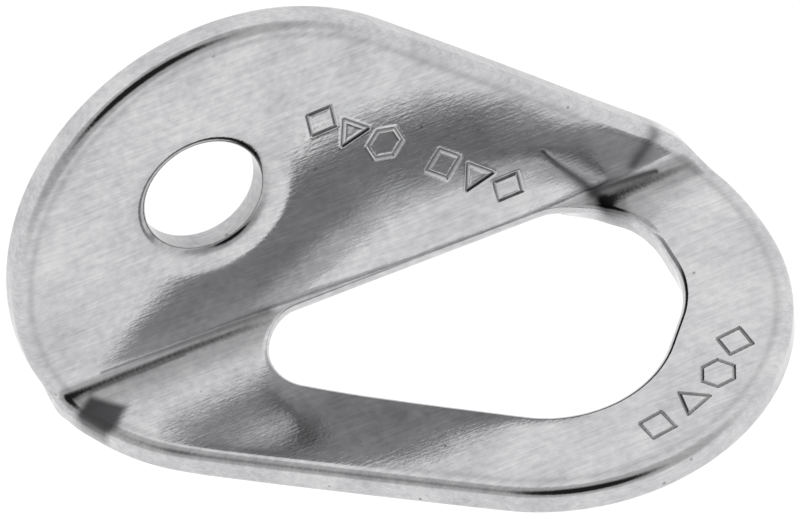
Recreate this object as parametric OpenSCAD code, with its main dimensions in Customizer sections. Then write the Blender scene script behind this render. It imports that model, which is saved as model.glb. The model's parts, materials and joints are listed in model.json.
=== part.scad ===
// Pad eye: one folded stainless plate with a bolt hole in one flange and an eye in the other.
//
// The origin is the centre of the bolt hole, on the back of the mounting flange. +Z points away
// from the surface that the plate is bolted to, and the fold runs along X on the -Y side.
//
// The blank is described flat. Its x is measured from the bolt hole, and its y from the fold line,
// where the front faces of the two flanges would meet in a sharp corner: positive on the mounting
// flange and negative on the eye. The blank and the opening in it are each a few circles with
// straight sides drawn round them.

/* [Sheet] */
// Thickness of the sheet
sheet_t = 3; // [2.5:0.1:3.5]
// Angle that the eye is folded up out of the mounting flange's plane
fold_angle = 74.5; // [65:0.5:85]
// Inside radius of the fold
fold_r = 1; // [0.8:0.1:1.4]
// Distance from the bolt hole's centre to the fold line
hole_to_fold = 14.4; // [12:0.1:15]

/* [Blank] */
// Radius of the end round the bolt hole
plate_end_r = 21.8; // [20:0.1:23]
// How far that end's centre lies past the bolt hole, along the fold
plate_end_x = 3.6; // [2:0.1:5]
// How far that end's centre lies from the fold line
plate_end_y = 7.8; // [6:0.1:9]
// Radius of the end round the eye
eye_end_r = 19.9; // [19:0.1:21]
// How far that end's centre lies past the bolt hole, along the fold
eye_end_x = 25.1; // [24:0.1:26]
// How far that end's centre lies from the fold line
eye_end_y = 10.2; // [9.5:0.1:11]

/* [Bolt hole] */
// Diameter of the bolt hole, a clearance hole for an M10 bolt
hole_d = 10.5; // [9:0.1:13]

/* [Eye opening] */
// Radius of the opening's large end
opening_end_r = 10.5; // [9.5:0.1:11]
// How far the large end's centre lies past the bolt hole, along the fold
opening_end_x = 25.1; // [24:0.1:26]
// How far the large end's centre lies from the fold line
opening_end_y = 10.8; // [10.5:0.1:11.5]
// Radius of the opening's nose, at its narrow end
nose_r = 3.8; // [3:0.1:4.5]
// How far the nose's centre lies past the bolt hole, along the fold
nose_x = 5.4; // [3:0.1:6]
// Radius of the opening's shoulder, where its straight side ends above the large end
shoulder_r = 6.7; // [5:0.1:7.5]
// How far the shoulder's centre lies past the bolt hole, along the fold
shoulder_x = 28.8; // [27:0.1:28.8]
// Share of the fold's angle that the lip between the bolt hole and the opening follows
lip_share = 0.65; // [0.55:0.05:0.8]

/* [Hidden] */

// Steps in a full turn of an outline, and rows of the sheet across each flange and the fold
outline_steps = 360;
flange_rows = 36;
fold_rows = 10;
bore_fn = 96;

// Extra length by which the bore's cutter passes each face
through = 1;

// How far short of an outline's furthest point its last row lies, so that the row has a width
row_trim = 0.01;

// Distance from the fold line to where each flange's flat face starts
fold_reach = fold_r * tan(fold_angle / 2);

// Height in the blank of the opening's straight side
opening_top = fold_reach * (1 - 2 * lip_share);

blank = outline_round([
    [plate_end_x, plate_end_y, plate_end_r],
    [eye_end_x, -eye_end_y, eye_end_r]
]);
opening = outline_round([
    [opening_end_x, -opening_end_y, opening_end_r],
    [nose_x, opening_top - nose_r, nose_r],
    [shoulder_x, opening_top - shoulder_r, shoulder_r]
]);
blank_top = plate_end_y + plate_end_r;
blank_bottom = -eye_end_y - eye_end_r;
opening_bottom = -opening_end_y - opening_end_r;

// How far a circle, given as [x, y, radius], reaches in the direction a
function reach(circle, a) = circle[0] * cos(a) + circle[1] * sin(a) + circle[2];

// The circle that reaches furthest in the direction a
function furthest(circles, a) =
    let (reaches = [for (c = circles) reach(c, a)])
    circles[search(max(reaches), reaches)[0]];

// Points of the outline round a group of circles, with straight sides between them
function outline_round(circles) = [
    for (i = [0 : outline_steps - 1])
        let (a = 360 * i / outline_steps, c = furthest(circles, a))
        [c[0] + c[2] * cos(a), c[1] + c[2] * sin(a)]
];

// Every x at which an outline crosses the height y
function crossings(outline, y) = [
    for (i = [0 : outline_steps - 1])
        let (a = outline[i], b = outline[(i + 1) % outline_steps])
        if ((a[1] > y) != (b[1] > y))
            a[0] + (b[0] - a[0]) * (y - a[1]) / (b[1] - a[1])
];

// The left and right x of the blank, and of the opening, at the height y
function blank_sides(y) =
    let (x = crossings(blank, max(blank_bottom + row_trim, min(blank_top - row_trim, y))))
    [min(x), max(x)];
function opening_sides(y) =
    let (x = crossings(opening, max(opening_bottom + row_trim, min(opening_top - row_trim, y))))
    [min(x), max(x)];

// Where a point of the blank, at a depth below the front face, lies in the folded plate
function folded(x, y, depth) =
    let (
        share = max(0, min(1, (fold_reach - y) / (2 * fold_reach))),
        a = fold_angle * share,
        r = fold_r + depth,
        on_plate = max(0, y - fold_reach),
        on_eye = max(0, -y - fold_reach)
    )
    [
        x,
        fold_reach - r * sin(a) + on_plate - on_eye * cos(fold_angle) - hole_to_fold,
        sheet_t + fold_r - r * cos(a) + on_eye * sin(fold_angle)
    ];

// A strip of the folded sheet. Each row is [height, left x, right x].
module strip(rows) {
    points = [
        for (row = rows)
            each [
                folded(row[1], row[0], 0),
                folded(row[2], row[0], 0),
                folded(row[2], row[0], sheet_t),
                folded(row[1], row[0], sheet_t)
            ]
    ];
    last = 4 * (len(rows) - 1);
    sides = [
        for (i = [0 : len(rows) - 2], k = [0 : 3])
            let (a = 4 * i + k, b = 4 * i + (k + 1) % 4)
            each [[a, b, a + 4], [b, b + 4, a + 4]]
    ];
    polyhedron(points, concat([[3, 2, 1, 0]], sides, [[last, last + 1, last + 2, last + 3]]));
}

// Heights of rows, evenly spaced, or closer together towards the round end that they start or
// finish at
function even_rows(from, to, count) = [for (i = [1 : count]) from + (to - from) * i / count];
function rows_from_end(from, to, count) =
    [for (i = [0 : count]) from + (to - from) * (1 - cos(90 * i / count))];
function rows_to_end(from, to, count) =
    [for (i = [1 : count]) from + (to - from) * sin(90 * i / count)];

// The sheet above the opening: the mounting flange, and the lip that follows the fold
module upper_sheet() {
    heights = concat(
        rows_from_end(blank_top, fold_reach, flange_rows),
        even_rows(fold_reach, opening_top, fold_rows)
    );
    strip([for (y = heights) concat(y, blank_sides(y))]);
}

// The sheet beside the opening, on the side of the nose and on the side of the shoulder
module side_sheets() {
    heights = concat(
        rows_from_end(opening_top, -fold_reach, fold_rows),
        rows_to_end(-fold_reach, opening_bottom, flange_rows)
    );
    strip([for (y = heights) [y, blank_sides(y)[0], opening_sides(y)[0]]]);
    strip([for (y = heights) [y, opening_sides(y)[1], blank_sides(y)[1]]]);
}

// The sheet past the opening, at the far edge of the eye
module lower_sheet() {
    heights = concat(opening_bottom, rows_to_end(opening_bottom, blank_bottom, flange_rows));
    strip([for (y = heights) concat(y, blank_sides(y))]);
}

module bolt_hole() {
    translate([0, 0, -through])
        cylinder(h = sheet_t + 2 * through, d = hole_d, $fn = bore_fn);
}

// The whole part is one stamping: both flanges and the fold between them are the same sheet.
module folded_plate() {
    color("silver")
        difference() {
            union() {
                upper_sheet();
                side_sheets();
                lower_sheet();
            }
            bolt_hole();
        }
}

folded_plate();
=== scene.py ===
"""Pad eye folded from one stamped steel plate: the visual model, its light and its camera.

The plate is shaped as a flat blank and then folded, as the real one is. Lengths in the blank are in
millimetres. x runs along the fold from the bolt hole, y is the height above the fold line, positive
on the mounting flange and negative on the eye, and depth goes from the front face into the sheet.
"""

import json
import math
from collections import namedtuple

import bpy
import numpy as np
from mathutils import Matrix, Vector
from mathutils.geometry import delaunay_2d_cdt


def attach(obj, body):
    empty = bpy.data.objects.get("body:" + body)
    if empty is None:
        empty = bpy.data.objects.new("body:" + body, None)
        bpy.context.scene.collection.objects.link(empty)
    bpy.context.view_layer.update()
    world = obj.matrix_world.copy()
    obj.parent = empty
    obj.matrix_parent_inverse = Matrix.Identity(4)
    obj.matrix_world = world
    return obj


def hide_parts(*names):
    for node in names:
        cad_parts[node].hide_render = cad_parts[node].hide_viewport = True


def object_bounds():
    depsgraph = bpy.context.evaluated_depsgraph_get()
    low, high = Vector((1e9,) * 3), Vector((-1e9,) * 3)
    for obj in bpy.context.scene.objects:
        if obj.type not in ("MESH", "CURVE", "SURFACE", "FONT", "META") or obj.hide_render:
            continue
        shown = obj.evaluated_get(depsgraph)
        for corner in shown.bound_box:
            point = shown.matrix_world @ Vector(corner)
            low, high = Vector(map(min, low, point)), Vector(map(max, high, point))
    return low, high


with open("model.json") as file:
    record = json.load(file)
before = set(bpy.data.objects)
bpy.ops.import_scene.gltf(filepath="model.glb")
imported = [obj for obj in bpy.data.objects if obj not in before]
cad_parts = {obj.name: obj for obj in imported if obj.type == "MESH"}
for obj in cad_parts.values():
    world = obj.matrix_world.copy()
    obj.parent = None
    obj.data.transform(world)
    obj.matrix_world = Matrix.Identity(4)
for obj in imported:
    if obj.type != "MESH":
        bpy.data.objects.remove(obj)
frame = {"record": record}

CAD_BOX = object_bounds()
MM = 0.001

# ------------------------------------------------------------- sheet and fold

MOUNTS = {mount["name"]: mount for mount in frame["record"]["mounts"]}
HOLE_R = MOUNTS["bolt_hole"]["dims"]["r_mm"]
SHEET_T = MOUNTS["bolt_hole"]["dims"]["length_mm"]
HOLE_TO_FOLD = 14.4

# The front face's slope in degrees at each height in the blank. The mounting flange is dished by a
# few degrees, the fold is pinched to a narrow crease, and the eye goes on bending up to its far edge.
# The mounting flange has one set of slopes up to LEFT_X and another from RIGHT_X on, and turns from
# one to the other in between.
EYE_SLOPES = ((-2.7, 63), (-5, 66), (-8.5, 72.5), (-11, 77.5), (-15, 79), (-20, 80), (-32, 83))
LEFT_SLOPES = ((30, 1), (17, -2.5), (12, -2.9), (8, -2.8), (5.5, -2), (3.5, -1), (0.7, 2), (-0.7, 48))
RIGHT_SLOPES = (
    (30, 2), (17, -1.5), (12, -1), (8, 1.3), (5, 0.1), (4, 0.5), (2, 2.4), (0.4, 4), (-1.9, 50),
)
LEFT_X = -8.0
RIGHT_X = 28.0
SLOPE_BLUR = 0.3
# The inside of the fold is shorter than the blank was: by this share, up to this far from the crease
FOLD_SQUEEZE = 0.88
FOLD_SQUEEZE_REACH = 4.0
# The back lies flat against the wall above the second of these heights, and follows the front face
# below the first
FLAT_BACK = (-1.9, 0.3)

# Spacing of the heights at which the line through the fold is worked out, and how far it runs on
# past the last of the slopes
SECTION_STEP = 0.01
SECTION_SPARE = 5
# Half the distance over which a face's tangents are measured
NUDGE = 0.02

# ------------------------------------------------------------- outlines and edges

# Circles that the outlines run round, as x, y and radius
PLATE_END = (3.6, 7.8, 21.8)
EYE_END = (25.1, -10.4, 20.1)
OPENING_BOTTOM = (24.6, -11.4, 9.9)
OPENING_SIDE = (27.6, -9.6, 8.75)
NOSE = (5.4, -4.4, 3.75)
SHOULDER = (30.2, -7.7, 6.1)
HOLE = (0.0, HOLE_TO_FOLD, HOLE_R)

# How far each rounded edge reaches across its face, and down its wall
Rounding = namedtuple("Rounding", "across down")
OUTER_EDGE = Rounding(1.05, 0.8)
OPENING_EDGE = Rounding(0.65, 0.65)
HOLE_EDGE = Rounding(0.85, 0.5)

# Blanking pulls the sheet down along its edges: how far in this reaches, and its slope at the edge
OUTER_ROLL = (1.3, 0.13)
OPENING_ROLL = (1.8, 0.16)

# The dished ring round the bolt hole: its width, its slope and how softly it starts
DISH_W = 2.3
DISH_SLOPE = 0.09
DISH_START = 0.35

# ------------------------------------------------------------- stamped marks

MARK_SIZE = 3.1
STROKE_R = 0.2
STROKE_DEPTH = 0.13
BURR_H = 0.009
BURR_R = 0.12


def ring_of(sides, turn=0.0):
    """The corners of a plain shape with equal sides, in a cell that is 1 wide and 1 high."""
    angles = [2 * math.pi * (i / sides + turn) for i in range(sides + 1)]
    return [(0.5 * math.sin(a), 0.5 * math.cos(a)) for a in angles]


TRIANGLE = ring_of(3)
DIAMOND = ring_of(4)
SQUARE = ring_of(4, 0.125)
HEXAGON = ring_of(6)

# The row on the mounting flange: where it starts and ends, and each mark's share of the way
PLATE_ROW = ((25.8, 3.8), (11.2, 17.65))
PLATE_MARKS = (
    (DIAMOND, 0.0), (TRIANGLE, 0.175), (SQUARE, 0.35),
    (HEXAGON, 0.66), (TRIANGLE, 0.84), (DIAMOND, 1.0),
)
# The row on the eye: its radius round the large end's centre, and each mark's angle
RING_ROW_R = 15.7
RING_MARKS = ((SQUARE, -81), (TRIANGLE, -67), (HEXAGON, -53.5), (DIAMOND, -39.5))

# ------------------------------------------------------------- creases, facets and painted shade

# Creases where the press has pinched the sheet, with the half width at each end. Each also takes a
# share of painted shade, a near-black painted where the crease's dark reflection lies; the two at the
# fold's left end have no relief at all, only this painted shade.
Crease = namedtuple("Crease", "start end halves depth grime")
CREASES = (
    Crease((29.3, 6.2), (33.0, -0.2), (0.12, 0.6), 0.015, 0.85),
    Crease((33.0, -0.2), (38.6, -0.6), (0.8, 0.25), 0.03, 0.9),
    Crease((36.9, 0.8), (40.2, 3.9), (0.6, 0.8), 0.015, 0.65),
    Crease((33.0, -0.2), (34.0, -4.9), (0.5, 0.8), 0.05, 0.85),
    Crease((-12.2, 0.6), (3.0, 0.2), (0.12, 0.55), 0.0, 0.7),
    Crease((-13.6, -0.8), (-5.0, -0.8), (0.2, 0.12), 0.0, 0.5),
)
# Facets at the fold's ends, with their corners anticlockwise. Each takes a share of painted shade
# for its dark reflection; the one at the left end has no relief, only painted shade.
Facet = namedtuple("Facet", "corners depth grime")
FACETS = (
    Facet(((-15.6, -2.4), (-15.2, -5.4), (-12.9, -5.1), (-11.3, -3.5), (-13.8, -1.1)), 0.0, 0.95),
    Facet(((33.5, -1.9), (34.0, -4.6), (35.0, -4.0), (35.3, -2.2)), 0.02, 0.5),
)
FACET_SOFTNESS = 0.4
# Share of the creases' and facets' depth that shows on the back
BACK_DENTS = 0.5

# The mesh layer that holds painted shade: how much near-black is painted at each point, standing in for
# the shade and dark reflections in creases, facets, grooves and along edges
PAINTED_SHADE_LAYER = "grime"
# Painted shade in the strokes of the marks, darkening the grooves where they lie in shade: its share,
# and how steeply it builds up from a stroke's sides
STROKE_SHADE = 0.6
STROKE_SHADE_RISE = 1.2
# Painted shade along the foot of the outer edge's rounding, a dark line where the rounded edge's
# reflection turns dark: how far in it lies, its width and its share
FOOT_IN = 1.35
FOOT_W = 0.3
FOOT_SHADE = 0.22
# Painted shade round the bolt hole, a grey ring where the dished rim reflects darker: its width and
# its share
RIM_W = 0.7
RIM_SHADE = 0.35

# ------------------------------------------------------------- spacings of the mesh

# Spacings of the points across a face, from the plainest stretch to the finest detail
PITCHES = (0.48, 0.24, 0.12, 0.06)
# How far from the fold line, and from a stroke, the second and the third spacing reach
FOLD_REACHES = (1.3, 0.95)
STROKE_REACHES = (1.1, 0.6)
# The least share of a crease that still takes the second spacing
CREASE_TRACE = 0.01

# Spacing of the points along an edge, and the share of it that a face's own points stay away
LOOP_PITCH = 0.34
LOOP_CLEARANCE = 0.45
# Steps round an edge's rounding, and down its wall
EDGE_STEPS = 8
WALL_STEPS = 5

# Directions in which an outline is measured, and points that are measured at a time
DIRECTIONS = 720
BATCH = 4096


# ------------------------------------------------------------- small helpers

def unit(vectors):
    return vectors / np.linalg.norm(vectors, axis=1, keepdims=True)


def smooth_step(values, low, high):
    """0 up to low and 1 from high on, with a smooth rise between them."""
    share = np.clip((values - low) / (high - low), 0, 1)
    return share * share * (3 - 2 * share)


def along_segment(points, start, end):
    """How far along the segment each point lies, from 0 to 1, and its distance from the segment."""
    run = np.subtract(end, start)
    share = np.clip(((points - start) @ run) / (run @ run), 0, 1)
    gap = np.hypot(*(points - start - share[:, None] * run).T)
    return share, gap


# ------------------------------------------------------------- outlines

class Outline:
    """The outline round a few circles, with straight sides between them."""

    def __init__(self, circles):
        circles = np.array(circles, float)
        angles = np.linspace(0, 2 * np.pi, DIRECTIONS, endpoint=False)
        self.normals = np.stack([np.cos(angles), np.sin(angles)], 1)
        reach = self.normals @ circles[:, :2].T + circles[:, 2]
        self.reach = reach.max(1)
        furthest = circles[reach.argmax(1)]
        self.corners = furthest[:, :2] + furthest[:, 2:] * self.normals

    def outside(self, points):
        """How far each point lies outside the outline. It is negative inside."""
        found = np.empty(len(points))
        for start in range(0, len(points), BATCH):
            part = slice(start, start + BATCH)
            found[part] = (points[part] @ self.normals.T - self.reach).max(1)
        return found

    def loop(self, pitch):
        """Evenly spaced points along the outline, and the outward normal at each."""
        closed = np.vstack([self.corners, self.corners[:1]])
        normals = np.vstack([self.normals, self.normals[:1]])
        along = np.concatenate([[0], np.cumsum(np.hypot(*np.diff(closed, axis=0).T))])
        count = int(along[-1] / pitch)
        steps = np.linspace(0, along[-1], count, endpoint=False)
        points = np.stack([np.interp(steps, along, closed[:, k]) for k in (0, 1)], 1)
        facing = np.stack([np.interp(steps, along, normals[:, k]) for k in (0, 1)], 1)
        return points, unit(facing)


BLANK = Outline([PLATE_END, EYE_END])
OPENING = Outline([OPENING_BOTTOM, OPENING_SIDE, NOSE, SHOULDER])
BORE = Outline([HOLE])


def inset(points):
    """How far each point of the blank lies from the nearest edge of the sheet."""
    return np.minimum(-BLANK.outside(points), np.minimum(OPENING.outside(points), BORE.outside(points)))


# ------------------------------------------------------------- relief of the faces

def strokes_of(shape, centre, across, up):
    """Line segments of one mark, placed in the blank."""
    corners = [np.array(centre) + (across * u + up * v) * MARK_SIZE for u, v in shape]
    return list(zip(corners[:-1], corners[1:]))


def all_marks():
    """The centre and the strokes of every mark in both rows."""
    start, end = np.array(PLATE_ROW)
    across = (end - start) / np.linalg.norm(end - start)
    up = np.array([-across[1], across[0]])
    found = []
    for shape, share in PLATE_MARKS:
        centre = start + (end - start) * share
        found.append((centre, strokes_of(shape, centre, across, up)))
    for shape, angle in RING_MARKS:
        out = np.array([math.cos(math.radians(angle)), math.sin(math.radians(angle))])
        centre = np.array(EYE_END[:2]) + out * RING_ROW_R
        found.append((centre, strokes_of(shape, centre, np.array([-out[1], out[0]]), -out)))
    return found


MARKS = all_marks()


def distance_to_strokes(points):
    """Distance to the nearest stroke of a mark, up to the size of a mark."""
    found = np.full(len(points), MARK_SIZE)
    for centre, strokes in MARKS:
        near = np.hypot(*(points - centre).T) < MARK_SIZE
        if not near.any():
            continue
        for start, end in strokes:
            _, gap = along_segment(points[near], start, end)
            found[near] = np.minimum(found[near], gap)
    return found


def in_crease(points, crease):
    """1 on a crease's middle line, and fading to 0 on both sides."""
    share, gap = along_segment(points, crease.start, crease.end)
    half = crease.halves[0] + (crease.halves[1] - crease.halves[0]) * share
    return np.exp(-((gap / half) ** 2))


def in_facet(points, facet):
    """1 inside a facet's corners, and fading to 0 across its sides."""
    corners = np.array(facet.corners)
    runs = unit(np.roll(corners, -1, axis=0) - corners)
    inward = np.stack([-runs[:, 1], runs[:, 0]], 1)
    gap = (points @ inward.T - (corners * inward).sum(1)).min(1)
    return smooth_step(gap, -FACET_SOFTNESS, FACET_SOFTNESS)


def dent_depth(points):
    """The creases and facets at the fold."""
    depth = np.zeros(len(points))
    for crease in CREASES:
        depth += crease.depth * in_crease(points, crease)
    for facet in FACETS:
        depth += facet.depth * in_facet(points, facet)
    return depth


def dish_depth(points):
    """The shallow cone round the bolt hole, rounded off where it meets the flat face."""
    rise = DISH_W - BORE.outside(points)
    soft = 0.5 * (rise + np.sqrt(rise ** 2 + DISH_START ** 2))
    return DISH_SLOPE * np.where(rise > -4 * DISH_START, soft, 0)


def die_roll_depth(points):
    """The slope that blanking leaves along an edge."""
    depth = np.zeros(len(points))
    rolls = ((-BLANK.outside(points), OUTER_ROLL), (OPENING.outside(points), OPENING_ROLL))
    for gap, (width, slope) in rolls:
        depth += slope * width * np.exp(-np.maximum(gap, 0) / width)
    return depth


def front_depth(points):
    """How deep the front face lies below the plain sheet's."""
    gap = distance_to_strokes(points)
    groove = STROKE_DEPTH * np.clip(1 - gap / STROKE_R, 0, 1)
    burr = BURR_H * np.exp(-(((gap - STROKE_R) / BURR_R) ** 2))
    return groove - burr + dent_depth(points) + dish_depth(points) + die_roll_depth(points)


def back_depth(points):
    """How deep the back face lies below the plain sheet's front face."""
    _, front_z, slope = section_at(points)
    flat = smooth_step(points[:, 1], *FLAT_BACK)
    dents = BACK_DENTS * dent_depth(points)
    return SHEET_T + flat * (front_z / np.cos(slope) - SHEET_T) + (1 - flat) * dents


def painted_shade_at(points):
    """How much painted shade each point of the front face takes, from 0 to 1: darkening painted into the
    creases, facets, stroke grooves, the outer edge's foot and the bolt hole's rim.
    """
    in_stroke = np.clip(STROKE_SHADE_RISE * (1 - distance_to_strokes(points) / STROKE_R), 0, 1)
    at_foot = np.exp(-(((BLANK.outside(points) + FOOT_IN) / FOOT_W) ** 2))
    at_rim = np.exp(-((BORE.outside(points) / RIM_W) ** 2))
    unshaded = (1 - STROKE_SHADE * in_stroke) * (1 - FOOT_SHADE * at_foot) * (1 - RIM_SHADE * at_rim)
    for crease in CREASES:
        unshaded *= 1 - crease.grime * in_crease(points, crease)
    for facet in FACETS:
        unshaded *= 1 - facet.grime * in_facet(points, facet)
    return 1 - unshaded


# ------------------------------------------------------------- folding the blank

class Section:
    """The front face's line through the fold: its slope and place at each height in the blank."""

    def __init__(self, plate_slopes):
        heights, slopes_there = np.array((plate_slopes + EYE_SLOPES)[::-1], float).T
        self.heights = np.arange(heights[0], heights[-1] + SECTION_SPARE, SECTION_STEP)
        slope = np.interp(self.heights, heights, slopes_there)
        reach = int(4 * SLOPE_BLUR / SECTION_STEP)
        weight = np.exp(-0.5 * (np.arange(-reach, reach + 1) * SECTION_STEP / SLOPE_BLUR) ** 2)
        slope = np.convolve(np.pad(slope, reach, "edge"), weight / weight.sum(), "valid")
        self.slope = np.radians(slope)
        near = np.abs(self.heights) < FOLD_SQUEEZE_REACH
        step = SECTION_STEP * np.where(near, FOLD_SQUEEZE, 1)
        self.y = np.cumsum(np.cos(self.slope) * step)
        self.z = -np.cumsum(np.sin(self.slope) * step)
        self.y -= np.interp(HOLE_TO_FOLD, self.heights, self.y)
        self.z += SHEET_T - np.interp(HOLE_TO_FOLD, self.heights, self.z)

    def at(self, height):
        """The y, the z and the slope at each height."""
        return np.array([np.interp(height, self.heights, line) for line in (self.y, self.z, self.slope)])


LEFT_SECTION = Section(LEFT_SLOPES)
RIGHT_SECTION = Section(RIGHT_SLOPES)


def section_at(points):
    """The y, the z and the slope of the front face at each point of the blank."""
    share = smooth_step(points[:, 0], LEFT_X, RIGHT_X)
    return LEFT_SECTION.at(points[:, 1]) * (1 - share) + RIGHT_SECTION.at(points[:, 1]) * share


def folded(points, depth):
    """Where points of the blank, at a depth below the front face, lie in the folded plate."""
    y, z, slope = section_at(points)
    return np.stack([points[:, 0], y - depth * np.sin(slope), z - depth * np.cos(slope)], 1)


def tangents_at(points, depth_of):
    """The folded face's tangents along the blank's x and y."""
    tangents = []
    for step in (np.array([NUDGE, 0]), np.array([0, NUDGE])):
        after = folded(points + step, depth_of(points + step))
        before = folded(points - step, depth_of(points - step))
        tangents.append((after - before) / (2 * NUDGE))
    return tangents


def face_normals(points, depth_of):
    """Normals of a folded face, pointing to the front side."""
    tangent_x, tangent_y = tangents_at(points, depth_of)
    return unit(np.cross(tangent_x, tangent_y))


# ------------------------------------------------------------- mesh of the plate

def lattice(pitch):
    """A hexagonal grid of points over the blank."""
    low = BLANK.corners.min(0) - pitch
    high = BLANK.corners.max(0) + pitch
    row_h = pitch * math.sqrt(3) / 2
    columns = np.arange(math.floor(low[0] / pitch) - 1, math.ceil(high[0] / pitch) + 1)
    rows = np.arange(math.floor(low[1] / row_h), math.ceil(high[1] / row_h) + 1)
    u, v = np.meshgrid(columns, rows)
    return np.stack([(u + 0.5 * (v % 2)) * pitch, v * row_h], -1).reshape(-1, 2)


def wanted_pitch(points, detailed):
    """The spacing that the face needs at each point, apart from the foot of the outer edge."""
    from_fold = np.abs(points[:, 1])
    pitch = np.full(len(points), PITCHES[0])
    pitch[from_fold < FOLD_REACHES[0]] = PITCHES[1]
    if not detailed:
        return pitch
    from_stroke = distance_to_strokes(points)
    from_hole = np.hypot(*(points - HOLE[:2]).T) - HOLE_R
    pitch[np.abs(from_hole - DISH_W) < 3 * DISH_START] = PITCHES[1]
    pitch[from_stroke < STROKE_REACHES[0]] = PITCHES[1]
    for crease in CREASES:
        pitch[in_crease(points, crease) > CREASE_TRACE] = PITCHES[1]
    for facet in FACETS:
        pitch[in_facet(points, facet) > 0] = PITCHES[1]
    pitch[from_fold < FOLD_REACHES[1]] = PITCHES[2]
    pitch[from_stroke < STROKE_REACHES[1]] = PITCHES[2]
    pitch[from_stroke < STROKE_R + BURR_R] = PITCHES[3]
    return pitch


def inner_points(edge_reach, detailed):
    """Points across a face, closer together where it has fine detail."""
    found = []
    for pitch in PITCHES if detailed else PITCHES[:2]:
        points = lattice(pitch)
        wanted = wanted_pitch(points, detailed)
        # The painted shade line at the outer edge's foot takes the second spacing in place of the first.
        # The finer grids skip this rule, because it changes nothing in them and is slow to measure.
        if detailed and pitch in PITCHES[:2]:
            at_foot = BLANK.outside(points) > -FOOT_IN - 2 * FOOT_W
            wanted[(wanted == PITCHES[0]) & at_foot] = PITCHES[1]
        points = points[np.isclose(wanted, pitch)]
        found.append(points[inset(points) > edge_reach + LOOP_CLEARANCE * LOOP_PITCH])
    return np.vstack(found)


# One edge of the sheet: its points, normals that point out of the sheet, and its rounding
Edge = namedtuple("Edge", "points facing rounding")


def edges_of_sheet():
    """The outer edge, the eye opening's and the bolt hole's, with the sheet always on their left."""
    outer, outer_facing = BLANK.loop(LOOP_PITCH)
    inner, inner_facing = OPENING.loop(LOOP_PITCH)
    bore, bore_facing = BORE.loop(LOOP_PITCH)
    return [
        Edge(outer, outer_facing, OUTER_EDGE),
        Edge(inner[::-1], -inner_facing[::-1], OPENING_EDGE),
        Edge(bore[::-1], -bore_facing[::-1], HOLE_EDGE),
    ]


class Sheet:
    """Collects the vertices, their normals and painted shade, and the faces of the folded plate."""

    def __init__(self):
        self.places, self.normals, self.grime, self.faces = [], [], [], []
        self.count = 0

    def add(self, places, normals, grime):
        """Adds vertices, and returns their numbers."""
        first = self.count
        self.places.append(places)
        self.normals.append(normals)
        self.grime.append(grime)
        self.count += len(places)
        return np.arange(first, self.count)

    def join(self, upper, lower):
        """Adds the band of faces between two rings of vertices, one below the other."""
        for i in range(len(upper)):
            j = (i + 1) % len(upper)
            self.faces.append((upper[i], lower[i], lower[j], upper[j]))


def edge_profile(rounding):
    """The rings of an edge, from front to back: how far in each lies, how deep, and its turn."""
    across, down = rounding
    turns = np.linspace(0, np.pi / 2, EDGE_STEPS + 1)
    front = [(across * (1 - np.sin(t)), down * (1 - np.cos(t)), t) for t in turns]
    wall = [(0, d, np.pi / 2) for d in np.linspace(down, SHEET_T - down, WALL_STEPS + 1)[1:-1]]
    back = [(reach, SHEET_T - depth, np.pi - turn) for reach, depth, turn in reversed(front)]
    return front + wall + back


def edge_rings(sheet, edge):
    """Adds one edge's rounded front, its wall and its rounded back. Returns its first and last ring."""
    rings = []
    for reach, depth, turn in edge_profile(edge.rounding):
        at = edge.points - edge.facing * reach
        share = depth / SHEET_T
        relief = front_depth(at) * (1 - share) + (back_depth(at) - SHEET_T) * share
        tangent_x, tangent_y = tangents_at(at, lambda p: np.full(len(p), depth))
        out = unit(tangent_x * edge.facing[:, :1] + tangent_y * edge.facing[:, 1:])
        face = face_normals(at, front_depth if share < 0.5 else back_depth)
        # The normal of an edge that is rounded as an ellipse
        face_share = edge.rounding.across * math.cos(turn)
        out_share = edge.rounding.down * math.sin(turn)
        normal = unit(face * face_share + out * out_share)
        # The front rings take the face's painted shade, which fades out down the wall
        rings.append(sheet.add(folded(at, depth + relief), normal, painted_shade_at(at) * (1 - share)))
    for upper, lower in zip(rings[:-1], rings[1:]):
        sheet.join(upper, lower)
    return rings[0], rings[-1]


def fill_face(sheet, rings, edges, front):
    """Adds the front or the back face of the sheet, between the rings that end its edges."""
    depth_of = front_depth if front else back_depth
    inner = inner_points(max(edge.rounding.across for edge in edges), detailed=front)
    normals = face_normals(inner, depth_of) * (1 if front else -1)
    # Only the front face takes painted shade
    grime = painted_shade_at(inner) if front else np.zeros(len(inner))
    added = sheet.add(folded(inner, depth_of(inner)), normals, grime)

    ring_points = [edge.points - edge.facing * edge.rounding.across for edge in edges]
    coords = np.vstack(ring_points + [inner])
    numbers = np.concatenate(rings + [added])
    sides, first = [], 0
    for ring in ring_points:
        sides += [(first + i, first + (i + 1) % len(ring)) for i in range(len(ring))]
        first += len(ring)
    # Output type 1 gives the triangles that lie inside the outer ring
    made = delaunay_2d_cdt([Vector(c) for c in coords], sides, [], 1, 1e-6)
    triangles = np.array([origin[0] for origin in made[3]])[np.array(made[2])]
    # A triangle that has all its corners on one hole's ring lies in that hole
    owner = np.repeat(np.arange(len(ring_points) + 1), [len(r) for r in ring_points] + [len(inner)])
    owners = owner[triangles]
    in_hole = (owners == owners[:, :1]).all(1) & (owners[:, 0] > 0) & (owners[:, 0] < len(ring_points))
    order = [0, 1, 2] if front else [0, 2, 1]
    sheet.faces += numbers[triangles[~in_hole]][:, order].tolist()


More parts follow.
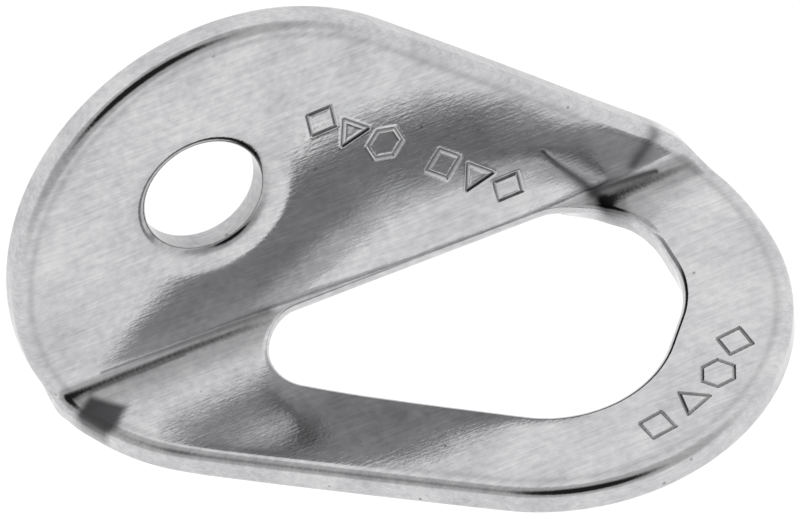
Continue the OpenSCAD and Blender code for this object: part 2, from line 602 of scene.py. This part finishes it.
def build_plate():
    """The folded plate as one closed mesh."""
    sheet = Sheet()
    edges = edges_of_sheet()
    ends = [edge_rings(sheet, edge) for edge in edges]
    fill_face(sheet, [first for first, _ in ends], edges, front=True)
    fill_face(sheet, [last for _, last in ends], edges, front=False)
    mesh = bpy.data.meshes.new("pad_eye_plate")
    mesh.from_pydata(np.vstack(sheet.places) * MM, [], sheet.faces)
    mesh.validate()
    mesh.polygons.foreach_set("use_smooth", [True] * len(mesh.polygons))
    mesh.normals_split_custom_set_from_vertices(np.vstack(sheet.normals))
    # The painted shade reaches the material through this layer
    grime = mesh.attributes.new(PAINTED_SHADE_LAYER, "FLOAT", "POINT")
    grime.data.foreach_set("value", np.concatenate(sheet.grime))
    mesh.update()
    piece = bpy.data.objects.new("pad_eye_plate", mesh)
    bpy.context.scene.collection.objects.link(piece)
    return piece


# ------------------------------------------------------------- materials

# Greys of the steel where it is stained, and where it is clean
STAINED = (0.38, 0.38, 0.395, 1)
CLEAN = (0.69, 0.69, 0.695, 1)
# The near-black painted as shade into creases, facets, grooves and along the edges, and the grey of the
# pits
PAINTED_SHADE_GREY = (0.06, 0.06, 0.063, 1)
PIT_GREY = (0.25, 0.25, 0.255, 1)
STAINED_ROUGHNESS = 0.13
CLEAN_ROUGHNESS = 0.07
# How much of the way from stained to clean each pattern decides
STAIN_SHARE = 0.45
SPECK_SHARE = 0.25
BRUSH_SHARE = 0.3

# Features per metre
STAIN_SCALE = 190
SPECK_SCALE = 1500
PIT_SCALE = 800
GRAIN_SCALE = 3200
# The brush marks are long along the fold, and narrow across it
BRUSH_SCALE = (260, 4200, 4200)
# Heights in metres
BRUSH_HEIGHT = 0.000005
GRAIN_HEIGHT = 0.000005
# The range that most of a noise texture's values fall in, and a narrower one for the brush marks
NOISE_RANGE = (0.3, 0.7)
BRUSH_RANGE = (0.35, 0.65)
# A cell whose random value lies in this range or above it holds a pit, which is fainter within the
# range. A pit fades between these distances from the cell's centre, given in cells.
PIT_CELLS = (0.80, 0.86)
PIT_EDGE = (0.16, 0.05)


class Nodes:
    """A short way to add and link the nodes of one material or world."""

    def __init__(self, tree):
        self.tree = tree
        tree.nodes.clear()

    def add(self, kind, inputs=None, **settings):
        """Adds a node. Each input is a value, or the output of another node."""
        node = self.tree.nodes.new(kind)
        for name, value in settings.items():
            setattr(node, name, value)
        for name, value in (inputs or {}).items():
            if isinstance(value, bpy.types.NodeSocket):
                self.tree.links.new(value, node.inputs[name])
            else:
                node.inputs[name].default_value = value
        return node

    def noise(self, place, scale, detail, roughness=0.5):
        inputs = {"Vector": place, "Scale": scale, "Detail": detail, "Roughness": roughness}
        return self.add("ShaderNodeTexNoise", inputs).outputs["Fac"]

    def map(self, value, low, high, to_low=0.0, to_high=1.0):
        """Maps low to high onto another range, and keeps within it."""
        inputs = {"Value": value, "From Min": low, "From Max": high, "To Min": to_low, "To Max": to_high}
        return self.add("ShaderNodeMapRange", inputs).outputs["Result"]

    def math(self, operation, first, second):
        return self.add("ShaderNodeMath", {0: first, 1: second}, operation=operation).outputs[0]

    def mix(self, share, first, second):
        """Mixes two colours. Sockets 6 and 7 are the mix node's colour inputs, and 2 its output."""
        return self.add("ShaderNodeMix", {0: share, 6: first, 7: second}, data_type="RGBA").outputs[2]

    def bump(self, height, distance, **below):
        """Adds relief, on top of another bump's normal where one is given."""
        return self.add("ShaderNodeBump", {"Height": height, "Distance": distance, **below}).outputs[0]


def steel_pits(nodes, place):
    """Small round pits in a few of a pattern's cells. 1 in a pit and 0 elsewhere."""
    cells = nodes.add("ShaderNodeTexVoronoi", {"Vector": place, "Scale": PIT_SCALE})
    chosen = nodes.map(cells.outputs["Color"], *PIT_CELLS)
    return nodes.math("MULTIPLY", chosen, nodes.map(cells.outputs["Distance"], *PIT_EDGE))


def steel_colour(nodes, stain, speck, brush, pits):
    """The steel's mottled grey, with its pits and the painted shade of its creases, grooves and edges.
    """
    mottle = nodes.math(
        "ADD",
        nodes.map(stain, *NOISE_RANGE, 0, STAIN_SHARE),
        nodes.map(speck, *NOISE_RANGE, 0, SPECK_SHARE),
    )
    mottle = nodes.math("ADD", mottle, nodes.map(brush, *BRUSH_RANGE, 0, BRUSH_SHARE))
    colour = nodes.mix(mottle, STAINED, CLEAN)
    colour = nodes.mix(pits, colour, PIT_GREY)
    # The painted shade, read from the mesh, darkens the colour towards near-black
    grime = nodes.add("ShaderNodeAttribute", attribute_name=PAINTED_SHADE_LAYER).outputs["Fac"]
    return nodes.mix(grime, colour, PAINTED_SHADE_GREY)


def steel_material():
    """Tumbled stainless steel: brush marks, stains, specks, pits and painted shade."""
    material = bpy.data.materials.new("tumbled_steel")
    material.use_nodes = True
    nodes = Nodes(material.node_tree)
    place = nodes.add("ShaderNodeTexCoord").outputs["Object"]
    along = nodes.add("ShaderNodeMapping", {"Vector": place, "Scale": BRUSH_SCALE}).outputs["Vector"]
    brush = nodes.noise(along, 1, 4, 0.65)
    grain = nodes.noise(place, GRAIN_SCALE, 2)
    stain = nodes.noise(place, STAIN_SCALE, 5, 0.6)
    speck = nodes.noise(place, SPECK_SCALE, 2)
    pits = steel_pits(nodes, place)
    brush_bump = nodes.bump(brush, BRUSH_HEIGHT)
    shader = nodes.add("ShaderNodeBsdfPrincipled", {
        "Base Color": steel_colour(nodes, stain, speck, brush, pits),
        "Metallic": 1,
        "Roughness": nodes.map(stain, *NOISE_RANGE, STAINED_ROUGHNESS, CLEAN_ROUGHNESS),
        "Normal": nodes.bump(grain, GRAIN_HEIGHT, Normal=brush_bump),
    })
    nodes.add("ShaderNodeOutputMaterial", {"Surface": shader.outputs["BSDF"]})
    return material


def floor_material():
    """A plain white light table."""
    material = bpy.data.materials.new("floor_white")
    material.use_nodes = True
    nodes = Nodes(material.node_tree)
    shader = nodes.add("ShaderNodeBsdfPrincipled", {
        "Base Color": (0.25, 0.25, 0.25, 1),
        "Roughness": 0.9,
        "Specular IOR Level": 0,
        "Emission Color": (1, 1, 1, 1),
        "Emission Strength": 0.92,
    })
    nodes.add("ShaderNodeOutputMaterial", {"Surface": shader.outputs["BSDF"]})
    return material


# ------------------------------------------------------------- stage, light and camera

# The camera's axes in the plate's frame: to the picture's right, and back to the lens
CAMERA_RIGHT = Vector((0.9120, -0.1776, 0.3698))
CAMERA_BACK = Vector((-0.1973, 0.6003, 0.7750))
CAMERA_TARGET = Vector((0.01522, -0.01384, 0.00263))
CAMERA_DISTANCE = 0.918
CAMERA_LENS = 487.9

FLOOR_SIZE = 4.0
FLOOR_GAP = 0.05 * MM
# How bright the tent is at each angle off the lens, in degrees. The lens looks in through a dark gap.
TENT_FULL = 1.2
TENT_LIGHT = ((0, 0.02), (19, 0.02), (31, 0.6), (46, 0.66), (66, 1.08), (180, 1.12))


def build_floor():
    """One large flat floor, a hair below the plate's back."""
    z = CAD_BOX[0].z - FLOOR_GAP
    half = FLOOR_SIZE / 2
    corners = [(-half, -half, z), (half, -half, z), (half, half, z), (-half, half, z)]
    mesh = bpy.data.meshes.new("floor")
    mesh.from_pydata(corners, [], [(0, 1, 2, 3)])
    mesh.materials.append(floor_material())
    floor = bpy.data.objects.new("floor", mesh)
    bpy.context.scene.collection.objects.link(floor)


def set_ramp(ramp, stops):
    """Sets the stops of a colour ramp, each as a place from 0 to 1 and a grey."""
    while len(ramp.elements) > 1:
        ramp.elements.remove(ramp.elements[-1])
    ramp.elements[0].position = stops[0][0]
    ramp.elements[0].color = (stops[0][1],) * 3 + (1,)
    for place, grey in stops[1:]:
        ramp.elements.new(place).color = (grey, grey, grey, 1)


def build_tent():
    """A white light tent, with the dark opening that the lens looks in through."""
    world = bpy.data.worlds.new("light_tent")
    bpy.context.scene.world = world
    world.use_nodes = True
    nodes = Nodes(world.node_tree)
    direction = nodes.add("ShaderNodeTexCoord").outputs["Generated"]
    lens = CAMERA_BACK.normalized()
    dot = nodes.add("ShaderNodeVectorMath", {0: direction, 1: lens}, operation="DOT_PRODUCT")
    angle = nodes.math("ARCCOSINE", dot.outputs["Value"], 0)
    ramp = nodes.add("ShaderNodeValToRGB", {"Fac": nodes.math("DIVIDE", angle, math.pi)})
    set_ramp(ramp.color_ramp, [(degrees / 180, light / TENT_FULL) for degrees, light in TENT_LIGHT])
    strength = nodes.math("MULTIPLY", ramp.outputs["Color"], TENT_FULL)
    background = nodes.add("ShaderNodeBackground", {"Color": (1, 1, 1, 1), "Strength": strength})
    nodes.add("ShaderNodeOutputWorld", {"Surface": background.outputs["Background"]})


def build_camera():
    """A long lens, which looks down on both flanges from the side that the fold opens to."""
    data = bpy.data.cameras.new("camera")
    data.lens = CAMERA_LENS
    data.sensor_width = 36
    data.clip_start = 0.01
    data.clip_end = 20
    camera = bpy.data.objects.new("camera", data)
    bpy.context.scene.collection.objects.link(camera)
    right = CAMERA_RIGHT.normalized()
    back = CAMERA_BACK.normalized()
    up = back.cross(right)
    turn = Matrix((right, up, back)).transposed()
    camera.matrix_world = Matrix.Translation(CAMERA_TARGET + back * CAMERA_DISTANCE) @ turn.to_4x4()
    bpy.context.scene.camera = camera


def main():
    bpy.context.scene.view_settings.view_transform = "Standard"
    build_camera()
    build_tent()
    build_floor()
    plate = build_plate()
    plate.data.materials.append(steel_material())
    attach(plate, "root")
    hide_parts("folded_plate")


main()
